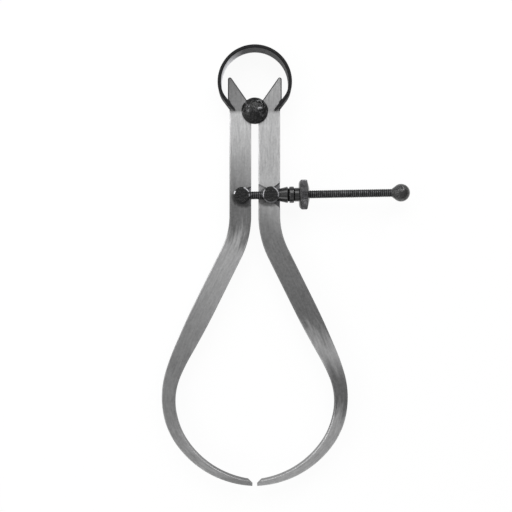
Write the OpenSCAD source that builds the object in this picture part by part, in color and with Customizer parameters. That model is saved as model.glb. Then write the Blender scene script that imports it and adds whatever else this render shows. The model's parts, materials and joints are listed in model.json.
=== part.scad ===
// Spring caliper for outside measuring, lying flat with the tips at the origin.
// X runs across the opening, Y runs from the tips up to the bow, Z is up through the legs.

/* [Legs] */
// Distance from the fulcrum to the measuring tips
leg_reach = 150; // [140:1:160]
// Width of the flat stock above the taper
leg_width = 8.7; // [8.2:0.1:9.4]
// Thickness of the flat stock
leg_thickness = 4.8; // [4.6:0.1:6]
// Gap between the parallel upper legs
leg_gap = 2.9; // [2.4:0.1:3.6]
// Gap left between the tips in the pose built here
tip_gap = 1.8; // [1.2:0.1:3]
// How far the middle line of the belly stands out from the axis
belly_reach = 34.6; // [31:0.1:37]
// Radius of the bend where the legs part
bend_radius = 34.4; // [26:0.2:42]
// Angle of the straight flank from the axis
flank_angle = 26.4; // [25:0.1:29]
// Radius of the slow curve that follows the flank
brow_radius = 79; // [60:1:95]
// Angle turned by the slow curve
brow_angle = 7; // [4:0.5:10]
// Radius of the belly
belly_radius = 30.3; // [26:0.1:34]
// Angle turned by the belly
belly_angle = 55; // [50:0.5:60]
// Angle from the axis at which the toe reaches the tip
toe_angle = 85.8; // [82:0.2:88]
// Length along the leg at which the taper starts
taper_start = 82; // [76:1:92]
// Length along the leg at which the first, eased taper ends
taper_end = 130; // [122:1:138]
// Width at the end of the first taper
taper_width = 4.9; // [4.2:0.1:5.8]
// Width of the toe at the tip
tip_width = 1.9; // [1.6:0.1:2.4]
// Height of the small measuring face at each tip
tip_face = 0.3; // [0.2:0.05:0.6]
// Angle from the axis of the slanted relief behind each tip
relief_angle = 45; // [38:1:52]
// Steps along each curve of the outline
curve_steps = 16; // [8:1:24]

/* [Horns] */
// Thickness of the tongue that the bow straddles
horn_thickness = 2.4; // [2:0.1:3]
// Angle of the inner edge of the horn from the axis
horn_angle = 35; // [33:0.5:37]
// How far the hook of the horn stands out past the leg
hook_step = 0.65; // [0.4:0.05:0.9]
// Radius of the horn tip
horn_tip_radius = 0.8; // [0.5:0.1:1]

/* [Fulcrum stud] */
// Radius of the turned waist that the legs roll on
stud_radius = 3.2; // [2.8:0.1:3.6]
// Radius of the domed front head
stud_head_radius = 5.3; // [4.8:0.1:5.8]
// Radius of the smaller head behind the legs
stud_back_radius = 4.4; // [4.2:0.1:4.8]
// Height of the straight rim of a head
stud_rim = 0.9; // [0.6:0.1:1.4]
// Height of each dome above its rim
stud_dome = 2.6; // [2:0.1:3]
// Gap between each head and the legs
stud_play = 0.1; // [0.05:0.05:0.2]

/* [Bow spring] */
// How far the bow stands out past the hooks of the horns
bow_overhang = 4; // [3.6:0.05:4.6]
// Thickness of the spring band
bow_thickness = 1.35; // [1.2:0.05:1.7]
// Width of the spring band
bow_width = 11; // [10:0.1:11.6]
// Height of the centre of the bow above the fulcrum
bow_height = 11.35; // [11:0.05:12]
// Outer radius of the bend into the end
bow_end_radius = 9.5; // [8:0.1:11]
// Angle below the centre at which that bend starts
bow_end_start = 9; // [6:0.5:12]
// Angle of the straight end from the axis
bow_end_angle = 37.3; // [36:0.1:39]
// Angle of the chisel bevel on each prong from the axis
prong_bevel = 58; // [52:1:64]
// Distance of the prong's point from the axis
prong_reach = 8; // [7.8:0.1:8.4]
// Gap between the bow and what it bears on
bow_seat = 0.12; // [0.1:0.01:0.15]
// Side gap of the slot around the horn
slot_play = 0.15; // [0.1:0.05:0.25]
// Steps along a quarter of the bow
bow_steps = 36; // [24:3:48]

/* [Posts] */
// Distance of both posts from the fulcrum
post_distance = 34.2; // [33:0.1:36]
// Angle of the anchor post from the axis
anchor_angle = 8.7; // [8.5:0.1:9]
// Angle of the guide post from the axis
guide_angle = 10.8; // [10.5:0.1:11]
// Radius of a post
post_radius = 2.5; // [2.4:0.05:2.6]
// Running clearance of a post in its leg
post_clearance = 0.05; // [0.02:0.01:0.08]
// Radius of a post head
post_head_radius = 3.3; // [3.1:0.05:3.5]
// Height of a post head
post_head_height = 1.2; // [1:0.1:1.8]
// Chamfer of a post head
post_chamfer = 0.45; // [0.3:0.05:0.6]
// Gap between a post head and the thrust cone below it
post_play = 0.1; // [0.06:0.02:0.2]
// How far the plain end of a post stands out of the back
post_stand = 0.4; // [0.2:0.1:0.8]

/* [Adjusting screw] */
// Radius of the screw over its thread
screw_radius = 1.63; // [1.55:0.01:1.7]
// Distance from the anchor post to the centre of the ball
screw_length = 63.8; // [60:0.1:68]
// Radius of the ball end
ball_radius = 3.55; // [3.2:0.05:4]
// Length of the cone between the screw and the ball
ball_neck = 1.9; // [1.4:0.1:3]
// Clearance of the screw where it is fixed
fixed_clearance = 0.02; // [0.01:0.01:0.03]
// Running clearance of the screw in the guide post, the cone and the nut
screw_clearance = 0.06; // [0.03:0.01:0.09]
// Room left around the screw and the cone in the pockets of the legs
screw_room = 0.15; // [0.12:0.01:0.2]
// Angle to each side that the screw can swivel in a leg
swivel_angle = 26.5; // [26.5:0.1:28]
// Thickness left behind the deepest pocket
web_thickness = 1; // [0.8:0.05:1.4]

/* [Thrust cone and nut] */
// Distance from the guide post centre to its flat seat
seat_distance = 2.2; // [2.1:0.05:2.25]
// Gap between pieces that bear on each other along the screw
bearing_gap = 0.03; // [0.02:0.01:0.05]
// Length of the thrust cone
cone_length = 4.75; // [4.4:0.05:5]
// Radius of the thrust cone at the post
cone_small_radius = 2.2; // [2.1:0.05:2.3]
// Radius of the thrust cone at the nut
cone_large_radius = 3.3; // [3.1:0.05:3.4]
// Chamfer on the large end of the cone
cone_chamfer = 0.4; // [0.2:0.05:0.5]
// Radius of the bead on the nut
bead_radius = 3.3; // [3.1:0.05:3.4]
// Width of the bead
bead_width = 1.9; // [1.6:0.1:2.2]
// Radius of the nut hub
hub_radius = 2.75; // [2.5:0.05:2.9]
// Length of the hub between bead and flange
hub_length = 2; // [1.6:0.1:2.4]
// Radius of the knurled rim
rim_radius = 6; // [5.4:0.1:6.6]
// Width of the knurled rim
rim_width = 2.2; // [1.8:0.1:2.6]
// Width of the lens-shaped flange at its middle
flange_width = 4.1; // [3.6:0.1:4.6]

/* [Hidden] */
$fn = 96;
rad = PI / 180;
eps = 0.5;

half_leg = leg_thickness / 2;
leg_middle = (leg_gap + leg_width) / 2;
leg_outer = leg_gap / 2 + leg_width;
tip_side = tip_gap / 2;

// Headings along the leg, from straight down and positive outwards
belly_in = flank_angle - brow_angle;
belly_out = belly_in - belly_angle;

// The flank is as long as the belly reach needs, and the toe radius brings the tips together
bend_out = bend_radius * (1 - cos(flank_angle));
brow_out = brow_radius * (cos(belly_in) - cos(flank_angle));
belly_rise = belly_radius * (1 - cos(belly_in));
flank_length = (belly_reach - leg_middle - bend_out - brow_out - belly_rise) / sin(flank_angle);
toe_start = belly_reach - belly_radius + belly_radius * cos(belly_out);
toe_radius = (toe_start - tip_side) / (cos(belly_out) - cos(toe_angle));
drop = bend_radius * sin(flank_angle) + flank_length * cos(flank_angle)
     + brow_radius * (sin(flank_angle) - sin(belly_in))
     + belly_radius * (sin(belly_in) - sin(belly_out))
     + toe_radius * (sin(belly_out) + sin(toe_angle));
upper_length = leg_reach - drop - tip_width / 2;

bend_centre = [leg_middle + bend_radius, -upper_length];
flank_start = bend_centre - bend_radius * [cos(flank_angle), sin(flank_angle)];
flank_end = flank_start + flank_length * [sin(flank_angle), -cos(flank_angle)];
brow_centre = flank_end - brow_radius * [cos(flank_angle), sin(flank_angle)];
belly_centre = brow_centre + (brow_radius - belly_radius) * [cos(belly_in), sin(belly_in)];
toe_centre = belly_centre + (belly_radius - toe_radius) * [cos(belly_out), sin(belly_out)];

at_bend = upper_length;
at_flank = at_bend + bend_radius * flank_angle * rad;
at_brow = at_flank + flank_length;
at_belly = at_brow + brow_radius * brow_angle * rad;
at_toe = at_belly + belly_radius * belly_angle * rad;
leg_length = at_toe + toe_radius * (toe_angle + belly_out) * rad;

// Where the bow bears on the horns
horn_outer = leg_outer + hook_step;
bow_radius = horn_outer + bow_overhang;
end_centre = [0, bow_height]
           + (bow_radius - bow_end_radius) * [cos(bow_end_start), -sin(bow_end_start)];
end_out = [cos(bow_end_angle), -sin(bow_end_angle)];
end_up = [sin(bow_end_angle), cos(bow_end_angle)];
end_inside = end_centre + (bow_end_radius - bow_thickness - bow_seat) * end_out;
end_length = (end_centre.y + bow_end_radius * end_out.y) / end_up.y + eps;
slot_top = ([leg_outer, hook_height(leg_outer)] - end_centre) * end_up + bow_seat;
horn_tip = [horn_outer - horn_tip_radius,
            ((horn_outer - horn_tip_radius) * cos(horn_angle) - horn_tip_radius) / sin(horn_angle)];

anchor_at = post_distance * [-sin(anchor_angle), -cos(anchor_angle)];
guide_at = post_distance * [sin(guide_angle), -cos(guide_angle)];
screw_tilt = (guide_angle - anchor_angle) / 2;
post_spacing = 2 * post_distance * sin((guide_angle + anchor_angle) / 2);
bore_radius = post_radius + post_clearance;
screw_bore = screw_radius + screw_clearance;
slot_half = screw_radius + screw_room;
screw_end = sqrt(post_radius * post_radius - screw_radius * screw_radius) - 0.1;

cone_start = seat_distance + bearing_gap;
cone_end = cone_start + cone_length;
cone_rise = (cone_large_radius - cone_small_radius) / (cone_length - cone_chamfer);

// The screw lies in front of the middle of the legs, so that the cone swings clear of the web
outer_reach = leg_outer - guide_at.x;
cone_depth = cone_radius(outer_reach / cos(swivel_angle)) + screw_room;
outer_floor = web_thickness - half_leg;
screw_height = outer_floor + cone_depth;
inner_floor = screw_height - slot_half;
post_under = screw_height + cone_radius(post_head_radius) + post_play;
nut_start = cone_end + bearing_gap;
bead_start = nut_start + 0.4;
bead_end = bead_start + bead_width;
flange_start = bead_end + hub_length;
flange_end = flange_start + flange_width;
rim_start = flange_start + (flange_width - rim_width) / 2;

function ease(t) = t * t * (3 - 2 * t);
function part_of(s, a, b) = min(1, max(0, (s - a) / (b - a)));
function width_at(s) = leg_width
    + (taper_width - leg_width) * ease(part_of(s, taper_start, taper_end))
    + (tip_width - taper_width) * part_of(s, taper_end, leg_length);
function cone_radius(x) = cone_small_radius + cone_rise * (x - cone_start);
function hook_height(x) = end_inside.y + (x - end_inside.x) * end_up.y / end_up.x;

// Right half of the band from its top to the end of a prong, at a depth below the outer face
function band_edge(depth) = concat(
    [for (i = [0 : bow_steps])
        let (a = 90 - (90 + bow_end_start) * i / bow_steps)
        [0, bow_height] + (bow_radius - depth) * [cos(a), sin(a)]],
    [for (i = [1 : bow_steps / 3])
        let (a = -bow_end_start - (bow_end_angle - bow_end_start) * i * 3 / bow_steps)
        end_centre + (bow_end_radius - depth) * [cos(a), sin(a)]],
    [end_centre + (bow_end_radius - depth) * end_out - end_length * end_up]);

// A station is a point of the middle line, its heading and its length along the leg
function on_line(p, h, s, d) = [p + d * [sin(h), -cos(h)], h, s + d];
function on_arc(c, r, h, s) = [c + r * [cos(h), sin(h)], h, s];
function edge(t, side) = t[0] + side * width_at(t[2]) / 2 * [cos(t[1]), sin(t[1])];

track = concat(
    [on_line([leg_middle, 0], 0, 0, 0)],
    [for (i = [0 : curve_steps])
        let (h = flank_angle * i / curve_steps)
        [bend_centre - bend_radius * [cos(h), sin(h)], h, at_bend + bend_radius * h * rad]],
    [for (i = [1 : curve_steps])
        on_line(flank_start, flank_angle, at_flank, flank_length * i / curve_steps)],
    [for (i = [1 : curve_steps / 2])
        let (a = brow_angle * i * 2 / curve_steps)
        on_arc(brow_centre, brow_radius, flank_angle - a, at_brow + brow_radius * a * rad)],
    [for (i = [1 : curve_steps * 1.5])
        let (a = belly_angle * i / curve_steps / 1.5)
        on_arc(belly_centre, belly_radius, belly_in - a, at_belly + belly_radius * a * rad)],
    [for (i = [1 : curve_steps * 1.5])
        let (a = (toe_angle + belly_out) * i / curve_steps / 1.5)
        on_arc(toe_centre, toe_radius, belly_out - a, at_toe + toe_radius * a * rad)]);

module leg_outline() {
    outside = [for (t = track) edge(t, 1)];
    inside = [for (i = [len(track) - 1 : -1 : 0]) edge(track[i], -1)];
    polygon(concat(outside, inside));
}

// Thin tongue above the shoulder, with a hook over the bow and a rounded tip
module horn_outline() {
    polygon([
        [0, 0],
        horn_tip + horn_tip_radius * [-cos(horn_angle), sin(horn_angle)],
        horn_tip,
        horn_tip + [horn_tip_radius, 0],
        [horn_outer, hook_height(horn_outer)],
        [leg_outer, hook_height(leg_outer)],
        [leg_outer, -eps],
        [leg_outer - eps, -eps],
        [leg_gap / 2, -eps],
        [leg_gap / 2, 0]
    ]);
    translate(horn_tip)
        circle(r = horn_tip_radius);
}

// Blank of the right leg: flat stock, horn, relief behind the tip and the notch for the stud
module leg_blank() {
    difference() {
        union() {
            translate([0, 0, -half_leg])
                linear_extrude(height = leg_thickness)
                    leg_outline();
            translate([0, 0, -horn_thickness / 2])
                linear_extrude(height = horn_thickness)
                    horn_outline();
        }
        translate([0, 0, -half_leg - eps])
            cylinder(r = stud_radius + post_clearance, h = leg_thickness + 2 * eps);
        translate([tip_side, tip_face - leg_reach, 0])
            rotate([0, 0, 90 - relief_angle])
                translate([-tip_width, 0, -half_leg - eps])
                    cube([4 * tip_width, 4 * tip_width, leg_thickness + 2 * eps]);
    }
}

// Pocket in the front face that widens along the local X axis to the edge of a leg
module pocket(reach, half_start, half_end, floor) {
    translate([0, 0, floor])
        linear_extrude(height = leg_thickness)
            polygon([[0, -half_start], [reach, -half_end], [reach, half_end], [0, half_start]]);
}

// Room for the screw to swivel between its post and the inner edge of a leg
module screw_pocket(reach) {
    wide = slot_half / cos(swivel_angle);
    pocket(reach, wide, wide + reach * tan(swivel_angle), inner_floor);
}

// Room for the thrust cone to swivel between its post and the outer edge of the guided leg
module cone_pocket(reach) {
    near = cone_start * sin(swivel_angle) + cone_small_radius * cos(swivel_angle);
    near_at = cone_start * cos(swivel_angle) - cone_small_radius * sin(swivel_angle);
    far_on = (reach + cone_radius(reach / cos(swivel_angle)) * sin(swivel_angle)) / cos(swivel_angle);
    far = far_on * sin(swivel_angle) + cone_radius(far_on) * cos(swivel_angle);
    slope = (far - near) / (reach - near_at);
    pocket(reach + eps, near - slope * near_at + screw_room, far + slope * eps + screw_room, outer_floor);
}

module post_bore() {
    translate([0, 0, -half_leg - eps])
        cylinder(r = bore_radius, h = leg_thickness + 2 * eps);
}

module left_leg() {
    color([0.62, 0.62, 0.62])
        difference() {
            mirror([1, 0, 0])
                leg_blank();
            translate(anchor_at) {
                post_bore();
                screw_pocket(eps - leg_gap / 2 - anchor_at.x);
            }
        }
}

module right_leg() {
    color([0.62, 0.62, 0.62])
        difference() {
            leg_blank();
            translate(guide_at) {
                post_bore();
                cone_pocket(outer_reach);
                rotate([0, 0, 180])
                    screw_pocket(eps + guide_at.x - leg_gap / 2);
            }
        }
}

// What is cut from one end of the bow: the fork around the horn and the chisel of the prongs
module bow_end_cut() {
    translate(end_centre)
        rotate([0, 0, -bow_end_angle])
            translate([0, -2 * end_length, -horn_thickness / 2 - slot_play])
                cube([2 * bow_end_radius, 2 * end_length + slot_top, horn_thickness + 2 * slot_play]);
    translate([0, bow_seat - bow_radius, -bow_width])
        cube([bow_radius, bow_radius, 2 * bow_width]);
    translate([prong_reach, bow_seat, -bow_width])
        rotate([0, 0, 90 - prong_bevel])
            translate([0, -bow_radius, 0])
                cube([bow_radius, bow_radius, 2 * bow_width]);
}

module bow_spring() {
    outside = band_edge(0);
    inside = band_edge(bow_thickness);
    color([0.2, 0.2, 0.2])
        difference() {
            translate([0, 0, -bow_width / 2])
                linear_extrude(height = bow_width)
                    polygon(concat(
                        outside,
                        [for (i = [len(inside) - 1 : -1 : 0]) inside[i]],
                        [for (i = [1 : len(inside) - 1]) [-inside[i].x, inside[i].y]],
                        [for (i = [len(outside) - 1 : -1 : 1]) [-outside[i].x, outside[i].y]]));
            bow_end_cut();
            mirror([1, 0, 0])
                bow_end_cut();
        }
}

// Head of the stud in front of the legs, domed above a straight rim
module stud_head(radius) {
    under = half_leg + stud_play;
    dome = (radius * radius + stud_dome * stud_dome) / (2 * stud_dome);
    intersection() {
        translate([0, 0, under])
            cylinder(r = radius, h = stud_rim + stud_dome);
        translate([0, 0, under + stud_rim + stud_dome - dome])
            sphere(r = dome);
    }
}

// Turned spool: a waist between two domed heads
module fulcrum_stud() {
    waist = leg_thickness + 2 * stud_play + eps;
    color([0.2, 0.2, 0.2])
        union() {
            translate([0, 0, -waist / 2])
                cylinder(r = stud_radius, h = waist);
            stud_head(stud_head_radius);
            rotate([180, 0, 0])
                stud_head(stud_back_radius);
        }
}

// Headed post: chamfered head in front of the leg and a plain chamfered end behind it
module post_body() {
    top = post_under + post_head_height;
    back = -half_leg - post_stand;
    rotate_extrude()
        polygon([
            [0, back],
            [post_radius - post_stand / 2, back],
            [post_radius, back + post_stand / 2],
            [post_radius, post_under],
            [post_head_radius, post_under],
            [post_head_radius, top - post_chamfer],
            [post_head_radius - post_chamfer, top],
            [0, top]
        ]);
}

module anchor_post() {
    color([0.2, 0.2, 0.2])
        translate(anchor_at)
            rotate([0, 0, screw_tilt])
                difference() {
                    post_body();
                    translate([-screw_end - fixed_clearance, 0, screw_height])
                        rotate([0, 90, 0])
                            cylinder(r = screw_radius + fixed_clearance, h = 2 * post_radius + screw_end);
                }
}

module guide_post() {
    color([0.2, 0.2, 0.2])
        translate(guide_at)
            rotate([0, 0, screw_tilt])
                difference() {
                    post_body();
                    translate([-2 * post_radius, 0, screw_height])
                        rotate([0, 90, 0])
                            cylinder(r = screw_bore, h = 4 * post_radius);
                    translate([seat_distance, -post_radius, outer_floor])
                        cube([post_radius, 2 * post_radius, post_under - outer_floor]);
                }
}

// Local Z runs along the screw, from the anchor post or from the guide post to the ball
module along_screw(from) {
    translate([from.x, from.y, screw_height])
        rotate([0, 0, screw_tilt])
            rotate([0, 90, 0])
                children();
}

module adjusting_screw() {
    neck_depth = sqrt(ball_radius * ball_radius * 3 / 4);
    color([0.2, 0.2, 0.2])
        along_screw(anchor_at) {
            translate([0, 0, -screw_end])
                cylinder(r = screw_radius, h = screw_end + screw_length);
            translate([0, 0, screw_length])
                sphere(r = ball_radius);
            translate([0, 0, screw_length - ball_radius / 2 - ball_neck])
                cylinder(r1 = screw_radius, r2 = neck_depth, h = ball_neck);
        }
}

module thrust_cone() {
    color([0.2, 0.2, 0.2])
        along_screw(guide_at)
            rotate_extrude()
                polygon([
                    [screw_bore, cone_start],
                    [cone_small_radius, cone_start],
                    [cone_large_radius, cone_end - cone_chamfer],
                    [cone_large_radius - cone_chamfer, cone_end],
                    [screw_bore, cone_end]
                ]);
}

// Nut with a rounded bead, a hub and a lens-shaped flange
module adjusting_nut() {
    round = bead_width / 4;
    face = rim_radius * 0.78;
    color([0.2, 0.2, 0.2])
        along_screw(guide_at)
            rotate_extrude()
                polygon([
                    [screw_bore, nut_start],
                    [hub_radius, nut_start],
                    [hub_radius, bead_start],
                    [bead_radius - round / 2, bead_start],
                    [bead_radius, bead_start + round],
                    [bead_radius, bead_end - round],
                    [bead_radius - round / 2, bead_end],
                    [hub_radius, bead_end],
                    [hub_radius, flange_start],
                    [face, flange_start],
                    [rim_radius * 0.92, flange_start + (rim_start - flange_start) * 0.4],
                    [rim_radius, rim_start],
                    [rim_radius, rim_start + rim_width],
                    [face, flange_end - (flange_width - rim_width) * 0.28],
                    [rim_radius * 0.45, flange_end],
                    [screw_bore, flange_end]
                ]);
}

module placed() {
    translate([0, leg_reach, 0])
        children();
}

placed() left_leg();
placed() right_leg();
placed() bow_spring();
placed() fulcrum_stud();
placed() anchor_post();
placed() guide_post();
placed() adjusting_screw();
placed() thrust_cone();
placed() adjusting_nut();
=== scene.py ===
# Spring caliper for outside measuring: two ground steel legs, black fittings and an adjusting screw
import json
from functools import reduce
from math import asin, atan, atan2, ceil, copysign, cos, degrees, hypot, pi, radians, remainder, sin, tan

import bmesh
import bpy
from mathutils import Matrix, Vector


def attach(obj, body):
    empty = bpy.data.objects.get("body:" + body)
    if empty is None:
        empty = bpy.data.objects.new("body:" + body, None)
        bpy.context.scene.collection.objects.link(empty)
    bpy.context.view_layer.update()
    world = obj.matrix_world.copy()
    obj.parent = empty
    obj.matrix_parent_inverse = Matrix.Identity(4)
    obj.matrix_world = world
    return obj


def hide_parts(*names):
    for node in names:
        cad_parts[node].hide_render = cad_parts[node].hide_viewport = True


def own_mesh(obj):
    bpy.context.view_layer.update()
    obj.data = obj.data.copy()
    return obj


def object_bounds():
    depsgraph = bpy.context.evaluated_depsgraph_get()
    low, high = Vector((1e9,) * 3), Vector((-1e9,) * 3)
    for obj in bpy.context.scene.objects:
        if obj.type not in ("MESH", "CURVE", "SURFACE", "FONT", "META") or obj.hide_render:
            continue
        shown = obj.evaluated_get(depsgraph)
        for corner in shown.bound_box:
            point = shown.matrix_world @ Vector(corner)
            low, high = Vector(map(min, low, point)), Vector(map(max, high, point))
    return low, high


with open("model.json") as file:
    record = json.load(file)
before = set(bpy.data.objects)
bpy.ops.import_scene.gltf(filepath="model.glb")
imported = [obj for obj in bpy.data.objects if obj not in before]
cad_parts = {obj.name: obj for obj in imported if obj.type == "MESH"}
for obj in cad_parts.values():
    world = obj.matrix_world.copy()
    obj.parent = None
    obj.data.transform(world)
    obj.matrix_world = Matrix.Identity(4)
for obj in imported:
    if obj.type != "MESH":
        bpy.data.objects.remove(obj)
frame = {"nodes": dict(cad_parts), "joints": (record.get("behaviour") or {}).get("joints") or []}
cadLow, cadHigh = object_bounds()
scene = bpy.context.scene
mm = 0.001
print("frame loaded with", len(frame["nodes"]), "solids")


# a dictionary whose values are also read by name
class Values(dict):
    __getattr__ = dict.__getitem__


jointAt = {joint["name"]: joint for joint in frame["joints"]}
fulcrum = Vector(jointAt["leg_opening"]["pos_m"])
anchorPoint = (Vector(jointAt["screw_swivel"]["pos_m"]) - fulcrum) / mm
guidePoint = (Vector(jointAt["guide_swivel"]["pos_m"]) - fulcrum) / mm
screwHeight = jointAt["nut_spin"]["pos_m"][2] / mm
screwAxis = Vector(jointAt["nut_spin"]["axis"])
screwTilt = atan2(screwAxis.y, screwAxis.x)

# sizes are in millimetres from the fulcrum, and these matrices bring them into the frame
atFulcrum = Matrix.Translation(fulcrum) @ Matrix.Scale(mm, 4)


def upright(point, height=0.0):
    return atFulcrum @ Matrix.Translation((point.x, point.y, height)) @ Matrix.Rotation(screwTilt, 4, "Z")


def alongScrew(point):
    return upright(point, screwHeight) @ Matrix.Rotation(pi / 2, 4, "Y")


# the camera looks straight down on the legs
cameraSet = Values(aim=(0.48, 92.0), plane=2.4, distance=440.0, span=204.8, clip=(0.01, 50))


def addCamera(v):
    data = bpy.data.cameras.new("camera")
    data.angle = 2 * atan(v.span / 2 / v.distance)
    data.clip_start, data.clip_end = v.clip
    camera = bpy.data.objects.new("camera", data)
    camera.location = (v.aim[0] * mm, v.aim[1] * mm, (v.plane + v.distance) * mm)
    scene.collection.objects.link(camera)
    scene.camera = camera


addCamera(cameraSet)
print("camera in place")


# node helpers for materials and geometry trees
def isSocket(value):
    return isinstance(value, bpy.types.NodeSocket)


def setInputs(tree, node, inputs):
    for name, value in inputs.items():
        if isSocket(value):
            tree.links.new(value, node.inputs[name])
        else:
            node.inputs[name].default_value = value


def addNode(tree, kind, inputs=None, **settings):
    node = tree.nodes.new(kind)
    for name, value in settings.items():
        setattr(node, name, value)
    setInputs(tree, node, inputs or {})
    return node


# first output of a new node
def valueOf(tree, kind, inputs=None, **settings):
    return addNode(tree, kind, inputs, **settings).outputs[0]


# Math node in the tree of the terms
def calc(operation, *terms, clamp=False):
    tree = next(term.id_data for term in terms if isSocket(term))
    inputs = dict(enumerate(terms))
    return valueOf(tree, "ShaderNodeMath", inputs, operation=operation, use_clamp=clamp)


def plus(*terms):
    return reduce(lambda a, b: calc("ADD", a, b), terms)


def minus(a, b):
    return calc("SUBTRACT", a, b)


def times(*terms):
    return reduce(lambda a, b: calc("MULTIPLY", a, b), terms)


# value times factor, plus start
def scaled(value, factor, start):
    return plus(times(value, factor), start)


def reachOf(x, y):
    return calc("SQRT", plus(times(x, x), times(y, y)))


# a value between start and end becomes low to high
def ranged(value, start, end, low=0.0, high=1.0, kind="SMOOTHSTEP"):
    inputs = {"Value": value, "From Min": start, "From Max": end, "To Min": low, "To Max": high}
    return valueOf(value.id_data, "ShaderNodeMapRange", inputs, interpolation_type=kind)


def noiseOf(vector, cells, detail=2.0, roughness=0.5):
    inputs = {"Vector": vector, "Scale": cells, "Detail": detail, "Roughness": roughness}
    return valueOf(vector.id_data, "ShaderNodeTexNoise", inputs)


def apartXYZ(vector):
    return addNode(vector.id_data, "ShaderNodeSeparateXYZ", {"Vector": vector}).outputs


def joinXYZ(**axes):
    tree = next(iter(axes.values())).id_data
    return valueOf(tree, "ShaderNodeCombineXYZ", axes)


def newTree(name, kind, inputs, outputs):
    tree = bpy.data.node_groups.new(name, kind)
    for side, sockets in (("INPUT", inputs), ("OUTPUT", outputs)):
        for label, socketType in sockets.items():
            tree.interface.new_socket(label, in_out=side, socket_type="NodeSocket" + socketType)
    return tree, tree.nodes.new("NodeGroupInput").outputs, tree.nodes.new("NodeGroupOutput").inputs


def newGroup(name, inputs, outputs):
    kinds = lambda labels: {label: "Vector" if label == "Vector" else "Float" for label in labels}
    return newTree(name, "ShaderNodeTree", kinds(inputs), kinds(outputs))


def giveOut(tree, out, **results):
    for name, value in results.items():
        tree.links.new(value, out[name])
    return tree


def useGroup(tree, group, inputs):
    return addNode(tree, "ShaderNodeGroup", inputs, node_tree=group).outputs


# layers of the grinding: noise cells per millimetre along and across, and the share in the tone
grainShape = Values(
    layers=dict(fine=(0.035, 6.5, 0.5), line=(0.2, 1.5, 0.6), fleck=(0.9, 1.9, 0.35), band=(0.03, 0.35, 0.3)),
    detail=3.0, roughness=0.6, fineHeight=0.6, lineFringe=0.4)


# grinding lines that run along a strip: Along and Across are millimetres on its surface
def brushedGrainGroup(v):
    tree, given, out = newGroup("brushedGrain", ("Along", "Across", "Contrast"), ("Tone", "Height", "Fringe"))
    layer, mix = {}, []
    for name, (along, across, share) in v.layers.items():
        spread = joinXYZ(X=times(given["Along"], along), Y=times(given["Across"], across))
        layer[name] = minus(noiseOf(spread, 1.0, v.detail, v.roughness), 0.5)
        mix.append(times(layer[name], share))
    return giveOut(tree, out, Tone=scaled(plus(*mix), given["Contrast"], 1.0),
                   Height=scaled(layer["fine"], v.fineHeight, layer["line"]),
                   Fringe=scaled(layer["line"], v.lineFringe, layer["band"]))


ringShape = Values(climb=0.7, detail=2.0, roughness=0.6)


# rings left by the lathe, round the Z axis of the given vector in metres
def turnedRingsGroup(v):
    tree, given, out = newGroup("turnedRings", ("Vector", "Rings per metre"), ("Height",))
    spot = apartXYZ(given["Vector"])
    run = plus(reachOf(spot["X"], spot["Y"]), times(spot["Z"], v.climb))
    rings = valueOf(tree, "ShaderNodeTexNoise", {
        "W": times(run, given["Rings per metre"]), "Scale": 1.0, "Detail": v.detail,
        "Roughness": v.roughness}, noise_dimensions="1D")
    return giveOut(tree, out, Height=rings)


mottleShape = Values(slowCells=420.0, toothCells=4200.0, slowShare=1.2, dentShare=2.2, drop=0.7, least=0.1)


# uneven black oxide: a slow change of tone, small dents and a fine tooth
def oxideMottleGroup(v):
    tree, given, out = newGroup("oxideMottle", ("Vector", "Dents per metre"), ("Tone", "Tooth", "Dents"))
    slow = noiseOf(given["Vector"], v.slowCells, 3.0)
    dents = noiseOf(given["Vector"], given["Dents per metre"])
    tone = plus(times(slow, v.slowShare), times(dents, v.dentShare))
    return giveOut(tree, out, Tone=calc("MAXIMUM", minus(tone, v.drop), v.least),
                   Tooth=noiseOf(given["Vector"], v.toothCells, 2.0, 0.6), Dents=dents)


wearAndSheenShape = Values(start=0.85, contrast=3.0, detail=3.0, roughness=0.6)


# places painted bright, from the wear attribute of the mesh, broken up by noise: worn edges, and on some pieces
# painted highlights and painted reflections
def wearAndSheenEdgeGroup(v):
    tree, given, out = newGroup("wearAndSheenEdge", ("Vector", "Wear", "Amount", "Patches per metre"), ("Mask",))
    patch = noiseOf(given["Vector"], given["Patches per metre"], v.detail, v.roughness)
    reach = plus(minus(patch, v.start), given["Amount"])
    level = calc("MULTIPLY", reach, v.contrast, clamp=True)
    return giveOut(tree, out, Mask=calc("MULTIPLY", level, given["Wear"], clamp=True))


brushedGrain = brushedGrainGroup(grainShape)
turnedRings = turnedRingsGroup(ringShape)
oxideMottle = oxideMottleGroup(mottleShape)
wearAndSheenEdge = wearAndSheenEdgeGroup(wearAndSheenShape)


def newMaterial(name):
    material = bpy.data.materials.new(name)
    material.use_nodes = True
    tree = material.node_tree
    return material, tree, next(n for n in tree.nodes if n.type == "BSDF_PRINCIPLED")


def grey(value):
    return (value, value, value, 1)


def tinted(level, tint):
    inputs = {"Red": level, "Green": level, "Blue": times(level, tint)}
    return valueOf(level.id_data, "ShaderNodeCombineColor", inputs)


def bumped(height, strength, depth):
    inputs = {"Strength": strength, "Distance": depth, "Height": height}
    return valueOf(height.id_data, "ShaderNodeBump", inputs)


def objectSpot(tree):
    return addNode(tree, "ShaderNodeTexCoord").outputs["Object"]


def wearOf(tree):
    return addNode(tree, "ShaderNodeAttribute", attribute_name="wear").outputs["Fac"]


# painted shadow of the post head and screw on the face of the leg, round its post and mostly below it, as a
# share of the clean brightness
def paintedShadowRound(place, v):
    spot = apartXYZ(place)
    x, y = [minus(spot[axis], centre) for axis, centre in zip("XY", v.post)]
    away = reachOf(times(x, v.grimeSqueeze), y)
    fray = minus(noiseOf(place, v.grimeCells), 0.5)
    return ranged(scaled(fray, v.grimeFray * mm, away),
                  v.grimeStart * mm, v.grimeEnd * mm, v.grimeTone, 1.0)
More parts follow.
